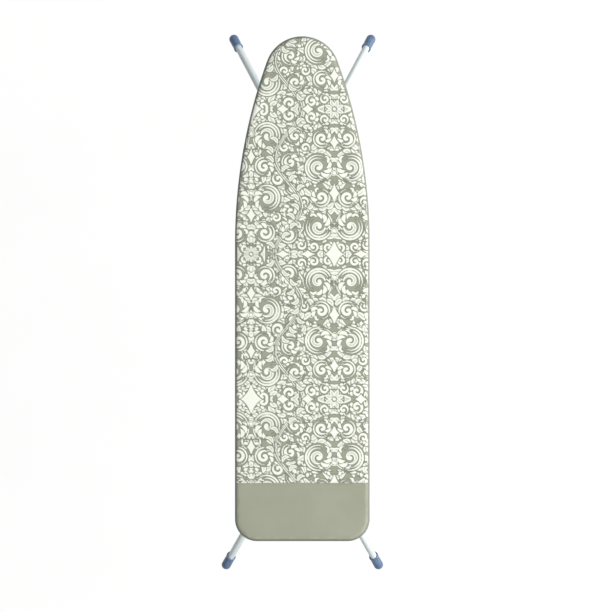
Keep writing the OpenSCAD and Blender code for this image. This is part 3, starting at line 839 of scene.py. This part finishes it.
# ---------------------------------------------------------------- moulded foot caps
CAP_R, CAP_LENGTH = 13.0, 33.0     # rounded end; from its centre to the mouth
CAP_Y, CAP_Z = 722.0, 9.5          # centre of the rounded end
CAP_SIDES = 56
MOUTH_SLANT = math.tan(math.radians(22.0))
SOCKET_END = 0.125                 # share of the length where the socket stops
# Both tables: share of the length (-1 at the mouth), radius
CAP_OUTSIDE = ((-1.0, 12.1), (-0.995, 12.75), (-0.97, 13.15), (-0.93, 13.3), (-0.88, 13.25),
               (-0.85, 12.95), (-0.83, 12.62), (-0.78, 12.5), (-0.6, 12.62), (-0.4, 12.8),
               (-0.2, 12.93), (0.0, 13.0))
CAP_INSIDE = ((-1.004, 11.2), (-1.0, 10.2), (-0.985, 9.62), (-0.7, 9.54), (-SOCKET_END, 9.54))


def foot_cap(end, end_sign, side, side_sign, x, splay):
    """A cap on one leg. splay is the leg's run in x over its run in y."""
    cos, sin = math.cos(LEG_ANGLE), math.sin(LEG_ANGLE)
    turn = math.atan(splay * cos)
    axis = np.array([side_sign * math.sin(turn), end_sign * math.cos(turn) * cos,
                     -math.cos(turn) * sin])
    up = np.array([0, end_sign * sin, cos])
    sideways = np.cross(axis, up)
    centre = np.array([side_sign * x, end_sign * CAP_Y, CAP_Z])
    verts = []

    def add_ring(along, radius, slant=0.0):
        for k in range(CAP_SIDES):
            a = 2 * math.pi * k / CAP_SIDES
            rise = radius * math.cos(a)
            verts.append(centre + axis * (along + MOUTH_SLANT * rise * slant) + up * rise
                         + sideways * radius * math.sin(a))
        return range(len(verts) - CAP_SIDES, len(verts))

    outside = [add_ring(u * CAP_LENGTH, radius, u ** 2) for u, radius in CAP_OUTSIDE]
    for degrees in range(10, 90, 10):
        e = math.radians(degrees)
        outside.append(add_ring(CAP_R * math.sin(e), CAP_R * math.cos(e)))
    tip = len(verts)
    verts.append(centre + axis * CAP_R)
    # rolled lip and the socket wall down to the tube's end
    inside = []
    for u, radius in CAP_INSIDE:
        slant = 1.0 if u < -0.9 else ((-u - SOCKET_END) / (1 - SOCKET_END)) ** 2
        inside.append(add_ring(u * CAP_LENGTH, radius, slant))
    bottom = len(verts)
    verts.append(centre - axis * SOCKET_END * CAP_LENGTH)

    faces = []
    chain = inside[::-1] + outside
    for a, b in zip(chain[:-1], chain[1:]):
        faces += ring_quads(a, b)
    for k in range(CAP_SIDES):
        following = (k + 1) % CAP_SIDES
        faces.append((outside[-1][k], outside[-1][following], tip))
        faces.append((inside[-1][following], inside[-1][k], bottom))
    verts = np.array(verts)
    verts[:, 2] = np.maximum(verts[:, 2], 0.0)       # flat sole
    return make(f"foot_cap_{end}_{side}", verts, faces, "cap_plastic",
                body=f"{end}_leg_frame", replaced=f"{end}_foot_cap_{side}")


# ---------------------------------------------------------------- build the pieces
printed = build_cover("cover_printed_cloth", front=True, step=2.5, columns=118,
                      slot="cover_print", replaced="cover_printed_panel")
plain = build_cover("cover_plain_cloth", front=False, step=3.0, columns=96,
                    slot="cover_plain", replaced="cover_plain_panel")
# Each built object with its material
PAINTED = [
    (printed, "cover_print"),
    (plain, "cover_plain"),
    (build_cord(), "cord"),
    (build_toggle(), "toggle_plastic"),
    (build_eyelets(), "dull_steel"),
    (build_seam_stitches(), "thread"),
    (build_hem_stitches(), "thread"),
    (build_pad(), "pad_foam"),
]
for end, end_sign, cap_x, splay in (("front", 1, 188.0, 0.527), ("rear", -1, 209.0, 0.566)):
    for side, side_sign in (("left", -1), ("right", 1)):
        cap = foot_cap(end, end_sign, side, side_sign, cap_x, splay)
        PAINTED.append((cap, "cap_plastic"))


# ---------------------------------------------------------------- shader writer
class Net:
    """A small node-tree writer; values may be numbers, colours or sockets."""

    def __init__(self, tree):
        self.tree = tree

    def put(self, socket, value):
        if hasattr(value, "is_output"):
            self.tree.links.new(value, socket)
        else:
            socket.default_value = value

    def node(self, kind, inputs=None, out=0, **props):
        node = self.tree.nodes.new(kind)
        for key, value in props.items():
            setattr(node, key, value)
        for key, value in (inputs or {}).items():
            self.put(node.inputs[key], value)
        return node.outputs[out]

    def math(self, operation, *values, clamp=False):
        return self.node("ShaderNodeMath", dict(enumerate(values)), operation=operation,
                         use_clamp=clamp)

    def times(self, value, by):
        return self.math("MULTIPLY", value, by)

    def add(self, base, value, weight):
        """base + value * weight"""
        return self.math("MULTIPLY_ADD", value, weight, base)

    def ramp(self, value, between, to=(0.0, 1.0)):
        return self.node("ShaderNodeMapRange",
                         {"Value": value, "From Min": between[0], "From Max": between[1],
                          "To Min": to[0], "To Max": to[1]},
                         interpolation_type="SMOOTHSTEP", clamp=True)

    def mix(self, share, under, over, blend="MIX"):
        return self.node("ShaderNodeMix", {0: share, 6: under, 7: over}, out=2,
                         data_type="RGBA", blend_type=blend)

    def tinted(self, color, by):
        return self.mix(1.0, color, by, "MULTIPLY")

    def noise(self, vector, scale, detail=3.0, rough=0.55, distortion=0.0):
        return self.node("ShaderNodeTexNoise",
                         {"Vector": vector, "Scale": scale, "Detail": detail,
                          "Roughness": rough, "Distortion": distortion})

    def bands(self, vector, scale, distortion, detail):
        return self.node("ShaderNodeTexWave",
                         {"Vector": vector, "Scale": scale, "Distortion": distortion,
                          "Detail": detail},
                         out=1, wave_type="BANDS", bands_direction="DIAGONAL")

    def mapped(self, vector, scale=(1.0, 1.0, 1.0), turn=(0.0, 0.0, 0.0)):
        return self.node("ShaderNodeMapping", {"Vector": vector, "Scale": scale, "Rotation": turn})

    def object_coords(self):
        return self.node("ShaderNodeTexCoord", out=3)

    def attribute(self, name, out="Fac"):
        return self.node("ShaderNodeAttribute", out=out, attribute_name=name)

    def xyz(self, vector):
        node = self.tree.nodes.new("ShaderNodeSeparateXYZ")
        self.put(node.inputs[0], vector)
        return node.outputs

    def bump(self, height, distance):
        return self.node("ShaderNodeBump",
                         {"Height": height, "Distance": distance, "Strength": 1.0})


class MaterialNet(Net):
    def __init__(self, name):
        self.material = bpy.data.materials.new(name)
        self.material.use_nodes = True
        super().__init__(self.material.node_tree)

    def finish(self, color, rough, normal, **inputs):
        """Fill the surface node; an input's name has _ for each space."""
        surface = next(n for n in self.tree.nodes if n.type == "BSDF_PRINCIPLED")
        inputs = {"Base_Color": color, "Roughness": rough, "Normal": normal, **inputs}
        for key, value in inputs.items():
            self.put(surface.inputs[key.replace("_", " ")], value)
        return self.material


def rgb(*display):
    """Linear colour from 0-255 display values."""
    def linear(c):
        return (c / 255 / 12.92) if c / 255 <= 0.04045 else ((c / 255 + 0.055) / 1.055) ** 2.4
    return tuple(linear(c) for c in display) + (1.0,)


LEVEL = 1.290                      # light that reaches the top of the board


def lit(*display):
    """Albedo of a colour as it looks on top of the board under the studio light."""
    return tuple(c / LEVEL for c in rgb(*display)[:3]) + (1.0,)


# ---------------------------------------------------------------- materials
# Lengths inside shaders (bump distances, pitches) are in metres; noise scales are per metre.
THREAD_PITCH = 0.00062


def weave(net, vector):
    """Plain weave, over-and-under threads with slubs: normal and height."""
    wander = net.noise(vector, scale=90.0, detail=2.0)
    x, y, _ = net.xyz(vector)
    wave_x, wave_y = [
        net.math("SINE", net.add(net.times(wander, by=1.1), c, weight=math.pi / THREAD_PITCH))
        for c in (x, y)]
    warp, weft = net.math("ABSOLUTE", wave_x), net.math("ABSOLUTE", wave_y)
    pick = net.ramp(net.times(wave_x, wave_y), between=(-0.25, 0.25))
    height = net.math("ADD", net.times(warp, pick),
                      net.times(weft, net.math("SUBTRACT", 1.0, pick)))
    slub = net.noise(net.mapped(vector, scale=(1.0, 14.0, 1.0)), scale=130.0, detail=2.0)
    height = net.add(height, slub, weight=0.5)
    fuzz = net.noise(vector, scale=5200.0, detail=2.0)
    return net.bump(net.add(height, fuzz, weight=0.25), distance=0.00011), height


def print_color(net, cloth):
    """Cream shapes with a dark outline and thin veins, on sage."""
    ragged = net.add(-0.35, net.noise(cloth, scale=620.0, detail=2.0), weight=0.6)
    depth = net.math("ADD", net.attribute("print_f"), ragged)
    cream = net.ramp(depth, between=(-0.32, 0.32))
    outline = net.times(net.ramp(depth, between=(-1.8, -1.1)),
                        net.ramp(depth, between=(0.1, -0.5)))
    ground = net.mix(net.times(outline, by=0.95), lit(166, 168, 148), lit(139, 142, 127))
    light = net.mix(net.ramp(depth, between=(1.4, 0.0), to=(0.0, 0.5)),
                    lit(255, 256, 245), lit(222, 224, 207))
    light = net.mix(net.times(net.attribute("print_vein"), by=0.85), light, lit(164, 167, 148))
    return net.mix(cream, ground, light)


def cloth_material(name, is_printed):
    net = MaterialNet(name)
    cloth = net.attribute("cloth", "Vector")
    normal, height = weave(net, cloth)
    cloud = net.noise(cloth, scale=7.0, detail=4.0)
    grain = net.noise(cloth, scale=260.0)
    if is_printed:
        color = print_color(net, cloth)
    else:
        color = net.mix(net.ramp(cloud, between=(0.35, 0.65)),
                        lit(165, 168, 147), lit(170, 172, 152))
    # grain, shade between the threads, and warm clouds
    color = net.mix(net.ramp(grain, between=(0.35, 0.65), to=(0.0, 0.10)),
                    color, net.tinted(color, by=(0.86, 0.86, 0.84, 1)))
    color = net.mix(net.ramp(height, between=(0.2, 1.2), to=(0.10, 0.0)),
                    color, net.tinted(color, by=(0.70, 0.70, 0.68, 1)))
    color = net.mix(net.ramp(cloud, between=(0.52, 0.78), to=(0.0, 0.05)),
                    color, lit(214, 205, 178))
    # painted shade: the turned-down side in darker plain sage, with a darker painted shade line
    # where it starts; fold is mm from the flat top's edge
    fold = net.attribute("fold")
    side_shade_mask = net.ramp(fold, between=(11.6, 12.2))
    side_shade_sage = net.mix(net.ramp(grain, between=(0.3, 0.7)), lit(141, 144, 131), lit(151, 154, 140))
    color = net.mix(side_shade_mask, color, side_shade_sage)
    # painted shade: a darker line along the turn of the edge
    edge_shade_line = net.times(net.ramp(fold, between=(9.3, 10.1)), net.ramp(fold, between=(12.6, 11.9)))
    color = net.mix(net.times(edge_shade_line, by=0.85), color, lit(136, 139, 128))
    # painted highlight: a lighter line along the padded edge, broken into patches
    edge_highlight = net.times(net.ramp(fold, between=(1.0, 4.0)), net.ramp(fold, between=(9.2, 6.5)))
    patches = net.noise(cloth, scale=45.0, detail=4.0)
    edge_highlight = net.times(edge_highlight, net.ramp(patches, between=(0.40, 0.66), to=(0.02, 0.14)))
    color = net.mix(edge_highlight, color, lit(240, 240, 230))
    # darker in patches low on the side
    low_side_patches = net.noise(cloth, scale=30.0, detail=4.0)
    low_side_darkening = net.times(net.ramp(fold, between=(22.0, 34.0)),
                      net.ramp(low_side_patches, between=(0.35, 0.75), to=(0.03, 0.16)))
    color = net.mix(low_side_darkening, color, lit(112, 108, 92))
    rough = net.ramp(net.noise(cloth, scale=60.0), between=(0.3, 0.7), to=(0.72, 0.88))
    return net.finish(color, rough, normal, Sheen_Weight=0.22, Sheen_Roughness=0.45,
                      Specular_IOR_Level=0.22)


def thread_material():
    base, dark = rgb(178, 181, 160), rgb(132, 136, 118)
    net = MaterialNet("thread_sage_twist")
    coords = net.object_coords()
    twist = net.bands(coords, scale=520.0, distortion=2.5, detail=2.0)
    # painted shade: darker in the grooves of the twist
    color = net.mix(net.ramp(twist, between=(0.25, 0.75)), dark, base)
    soil = net.ramp(net.noise(coords, scale=60.0), between=(0.4, 0.7), to=(0.0, 0.2))
    return net.finish(net.mix(soil, color, dark), 0.75, net.bump(twist, distance=0.00022),
                      Sheen_Weight=0.3)


def cord_material():
    net = MaterialNet("cord_cotton_braid")
    coords = net.object_coords()
    strands = [net.bands(vector, scale=230.0, distortion=1.2, detail=1.0)
               for vector in (coords, net.mapped(coords, turn=(0.0, 0.0, 1.57)))]
    height = net.math("MAXIMUM", *strands)
    # painted shade: darker in the grooves between the strands
    color = net.mix(height, rgb(186, 182, 164), rgb(238, 236, 222))
    soil = net.ramp(net.noise(coords, scale=35.0), between=(0.4, 0.7), to=(0.0, 0.3))
    return net.finish(net.mix(soil, color, rgb(176, 170, 148)), 0.85,
                      net.bump(height, distance=0.0005), Sheen_Weight=0.4)


def felt_material():
    net = MaterialNet("pad_needled_felt")
    coords = net.object_coords()
    fibres = net.noise(net.mapped(coords, scale=(1.0, 3.4, 2.0)), scale=900.0, detail=5.0,
                       rough=0.7, distortion=1.5)
    lumps = net.noise(coords, scale=60.0)
    # grey felt, kept darker so the vent holes over it look shaded: partly its own colour, partly
    # painted shade
    color = net.mix(net.ramp(fibres, between=(0.35, 0.65)), rgb(116, 118, 118),
                    rgb(146, 148, 146))
    flecks = net.ramp(net.noise(coords, scale=320.0), between=(0.62, 0.72), to=(0.0, 0.6))
    return net.finish(net.mix(flecks, color, rgb(196, 190, 176)), 0.95,
                      net.bump(net.add(fibres, lumps, weight=1.5), distance=0.0006),
                      Sheen_Weight=0.5, Sheen_Roughness=0.6)


def enamel_material(name, light, dark, wear, rough, coat, metallic=0.0):
    """Stoved finish: faint orange peel, fine scratches and a few chips down to metal."""
    net = MaterialNet(name)
    coords = net.object_coords()
    cloud = net.noise(coords, scale=9.0)
    peel = net.noise(coords, scale=260.0, detail=1.0, rough=0.4)
    lines = net.noise(net.mapped(coords, scale=(1.0, 22.0, 22.0), turn=(0.3, 0.2, 0.7)),
                      scale=45.0, rough=0.6, distortion=0.4)
    scratches = net.times(net.ramp(lines, between=(0.68, 0.73)),
                          net.ramp(cloud, between=(0.46, 0.62)))
    color = net.mix(net.ramp(cloud, between=(0.25, 0.75)), dark, light)
    color = net.mix(net.times(scratches, by=0.12), color, wear)
    spots = net.noise(coords, scale=150.0, detail=2.0, rough=0.5)
    areas = net.noise(coords, scale=21.0, detail=2.0)
    chips = net.times(net.ramp(spots, between=(0.775, 0.79)),
                      net.ramp(areas, between=(0.58, 0.68)))
    color = net.mix(chips, color, wear)
    handled = net.ramp(net.noise(coords, scale=50.0), between=(0.4, 0.75))
    rough = net.add(net.add(rough, scratches, weight=0.08), handled, weight=0.06)
    height = net.add(net.times(peel, by=0.5), scratches, weight=-0.3)
    height = net.math("SUBTRACT", height, chips)
    return net.finish(color, rough, net.bump(height, distance=0.000003),
                      Metallic=net.math("MAXIMUM", metallic, net.times(chips, by=0.8)),
                      Coat_Weight=coat, Coat_Roughness=0.20)


def steel_material(name, light, dark, rough, grain_scale, spangle):
    """Zinc plate over steel: brushed grain, soft spangle and a little white bloom."""
    net = MaterialNet(name)
    coords = net.object_coords()
    grain = net.noise(net.mapped(coords, scale=grain_scale), scale=34.0, detail=4.0, rough=0.65)
    cells = net.node("ShaderNodeTexVoronoi", {"Vector": coords, "Scale": 160.0}, out=1)
    shade = net.times(net.xyz(cells)[0], by=spangle)
    brushed = net.ramp(grain, between=(0.3, 0.7), to=(0.0, 0.8))
    color = net.mix(net.math("ADD", brushed, shade, clamp=True), dark, light)
    bloom = net.ramp(net.noise(coords, scale=26.0, detail=5.0, rough=0.65),
                     between=(0.56, 0.74), to=(0.0, 0.35))
    color = net.mix(bloom, color, rgb(196, 198, 198))
    rough = net.math("ADD", net.ramp(grain, between=(0.3, 0.7), to=(rough, rough + 0.16)),
                     net.times(bloom, by=0.45))
    return net.finish(color, rough, net.bump(grain, distance=0.00005),
                      Metallic=net.math("SUBTRACT", 1.0, net.times(bloom, by=0.6)))


def plastic_material(name, light, dark, scuff, rough, grain_mm, depth, **inputs):
    """Moulded plastic: fine tool texture, clouds, scuffs and a little dust."""
    net = MaterialNet(name)
    coords = net.object_coords()
    cloud = net.noise(coords, scale=55.0, detail=4.0, rough=0.6, distortion=0.8)
    tool = net.noise(coords, scale=1000.0 / grain_mm, detail=2.0, rough=0.6)
    marks = net.noise(net.mapped(coords, scale=(1.0, 9.0, 4.0), turn=(0.1, 0.5, 0.9)),
                      scale=120.0, detail=4.0, rough=0.7)
    scuffs = net.times(net.ramp(marks, between=(0.60, 0.68)),
                       net.ramp(cloud, between=(0.40, 0.60)))
    color = net.mix(net.ramp(cloud, between=(0.3, 0.7)), dark, light)
    color = net.mix(net.times(scuffs, by=0.5), color, scuff)
    dust = net.ramp(net.noise(coords, scale=300.0), between=(0.60, 0.75), to=(0.0, 0.12))
    color = net.mix(dust, color, rgb(196, 198, 200))
    rough = net.ramp(net.noise(coords, scale=90.0), between=(0.35, 0.7), to=(rough, rough + 0.12))
    return net.finish(color, net.add(rough, scuffs, weight=0.22),
                      net.bump(net.add(tool, scuffs, weight=-0.6), distance=depth), **inputs)


MATERIALS = {
    "cover_print": cloth_material("cloth_scroll_print", is_printed=True),
    "cover_plain": cloth_material("cloth_sage_plain", is_printed=False),
    "thread": thread_material(),
    "pad_foam": felt_material(),
    "cord": cord_material(),
    "sheet_steel": enamel_material(
        "enamel_pale_grey", light=rgb(208, 211, 211), dark=rgb(196, 199, 200),
        wear=rgb(120, 122, 124), rough=0.34, coat=0.25),
    "leg_enamel": enamel_material(
        "enamel_silver_white", light=rgb(220, 226, 226), dark=rgb(213, 220, 220),
        wear=rgb(150, 156, 160), rough=0.30, coat=0.45, metallic=0.30),
    "bright_steel": steel_material(
        "zinc_bright", light=rgb(218, 220, 224), dark=rgb(182, 185, 190), rough=0.24,
        grain_scale=(40.0, 1.0, 40.0), spangle=0.12),
    "dull_steel": steel_material(
        "zinc_satin", light=rgb(186, 188, 192), dark=rgb(150, 153, 158), rough=0.36,
        grain_scale=(1.0, 40.0, 40.0), spangle=0.25),
    "cap_plastic": plastic_material(
        "plastic_slate_blue", light=rgb(87, 111, 144), dark=rgb(77, 100, 134),
        scuff=rgb(150, 166, 184), rough=0.32, grain_mm=0.35, depth=0.00003,
        Coat_Weight=1.0, Coat_Roughness=0.15),
    "nylon": plastic_material(
        "plastic_natural_nylon", light=rgb(234, 234, 224), dark=rgb(222, 222, 208),
        scuff=rgb(206, 206, 196), rough=0.38, grain_mm=0.5, depth=0.00004,
        Subsurface_Weight=0.15, Subsurface_Scale=0.004),
    "slider_plastic": plastic_material(
        "plastic_dark_grey", light=rgb(66, 70, 76), dark=rgb(54, 58, 64),
        scuff=rgb(104, 108, 112), rough=0.42, grain_mm=0.45, depth=0.00007),
    "toggle_plastic": plastic_material(
        "plastic_charcoal", light=rgb(52, 56, 62), dark=rgb(44, 47, 52),
        scuff=rgb(96, 100, 104), rough=0.30, grain_mm=0.3, depth=0.00003,
        Coat_Weight=0.2, Coat_Roughness=0.15),
}


def paint(ob, material):
    ob.data.materials.clear()
    ob.data.materials.append(material)


SLOT_OF = {part["node"]: part["material_slot"] for part in frame["record"]["subparts"]}
for name, ob in NODES.items():
    paint(ob, MATERIALS[SLOT_OF.get(name, "dull_steel")])
for ob, key in PAINTED:
    paint(ob, MATERIALS[key])


# ---------------------------------------------------------------- floor, in metres from here on
# The legs reach 160 mm further down at the highest setting, while the board top stays
# where it is, so the paper lies below that.
FLOOR_Z = -0.168


def floor_material():
    """White seen from above, pale grey along the ground, so that the white legs stand out."""
    net = MaterialNet("studio_floor_paper")
    coords = net.object_coords()
    camera_ray = net.node("ShaderNodeLightPath")
    steepness = net.xyz(net.node("ShaderNodeNewGeometry", out="Incoming"))[2]
    glow = net.ramp(steepness, between=(0.80, 0.97), to=(0.60, 0.875))
    paper = net.mix(net.ramp(net.noise(coords, scale=3.0), between=(0.3, 0.7)),
                    (0.115, 0.115, 0.115, 1), (0.125, 0.125, 0.125, 1))
    color = net.mix(camera_ray, (0.52, 0.53, 0.53, 1), paper)
    normal = net.bump(net.noise(coords, scale=700.0), distance=0.0002)
    return net.finish(color, 0.9, normal, Specular_IOR_Level=0.0,
                      Emission_Color=(1.0, 1.0, 0.995, 1.0),
                      Emission_Strength=net.times(camera_ray, glow))


bpy.ops.mesh.primitive_plane_add(size=60, location=(0, 0, FLOOR_Z))
floor = bpy.context.object
floor.name = "studio_floor"
paint(floor, floor_material())


# ---------------------------------------------------------------- lights
def softbox(name, location, target, size, watts, color=(1, 1, 1)):
    """An area light; size is its width and height."""
    light = bpy.data.lights.new(name, "AREA")
    light.shape = "RECTANGLE"
    light.size, light.size_y = size
    light.energy = watts
    light.color = color
    ob = bpy.data.objects.new(name, light)
    bpy.context.scene.collection.objects.link(ob)
    ob.location = location
    aim = Vector(target) - Vector(location)
    ob.rotation_euler = aim.to_track_quat("-Z", "Y").to_euler()


softbox("key_softbox", location=(3.3, 0.5, 3.3), target=(0, 0, 0.6), size=(1.3, 3.0), watts=178.0)
softbox("side_softbox", location=(3.4, 0.2, 1.0), target=(0, 0, 0.35), size=(3.2, 1.6), watts=46.0)
softbox("fill_softbox", location=(-1.2, -3.0, 4.2), target=(0, 0, 0.5), size=(2.6, 2.6),
        watts=36.0, color=(0.97, 0.985, 1.0))

scene = bpy.context.scene
scene.view_settings.view_transform = "Standard"
scene.view_settings.look = "None"
scene.view_settings.exposure = 0.0
scene.view_settings.gamma = 1.0


# ---------------------------------------------------------------- world
WORLD_STRENGTH = 0.73
BACKDROP = 0.68                    # grey that the camera sees


def build_world():
    """Light from the right and from above; an even grey for the camera."""
    world = bpy.data.worlds.new("studio")
    scene.world = world
    world.use_nodes = True
    net = Net(world.node_tree)
    net.tree.nodes.clear()
    x, _, z = net.xyz(net.node("ShaderNodeTexCoord", out="Generated"))
    from_right = net.ramp(x, between=(-0.80, 0.30), to=(0.36, 1.12))
    from_above = net.ramp(z, between=(-0.05, 0.62), to=(0.34, 1.06))
    sky = net.mix(1.0, (0.97, 1.0, 1.0, 1), net.times(from_right, from_above), "MULTIPLY")
    camera_ray = net.node("ShaderNodeLightPath", out="Is Camera Ray")
    grey = BACKDROP / WORLD_STRENGTH
    color = net.mix(camera_ray, sky, (grey, grey, grey, 1))
    background = net.node("ShaderNodeBackground", {"Color": color, "Strength": WORLD_STRENGTH})
    output = net.tree.nodes.new("ShaderNodeOutputWorld")
    net.put(output.inputs["Surface"], background)


build_world()


# ---------------------------------------------------------------- camera
# Straight down on the board, nose to the top of the picture
VIEW_WIDTH = 1.6628                # width of the view at the height of the cloth
SENSOR, LENS = 36.0, 1500.0        # mm

camera = bpy.data.cameras.new("camera")
camera.type = "PERSP"
camera.sensor_width = SENSOR
camera.lens = LENS
camera.clip_start = 1.0
camera.clip_end = 400.0
camera_ob = bpy.data.objects.new("camera", camera)
scene.collection.objects.link(camera_ob)
camera_ob.location = (0.010, -0.011, TOP_Z * MM + VIEW_WIDTH / (SENSOR / LENS))
scene.camera = camera_ob

bpy.context.view_layer.update()
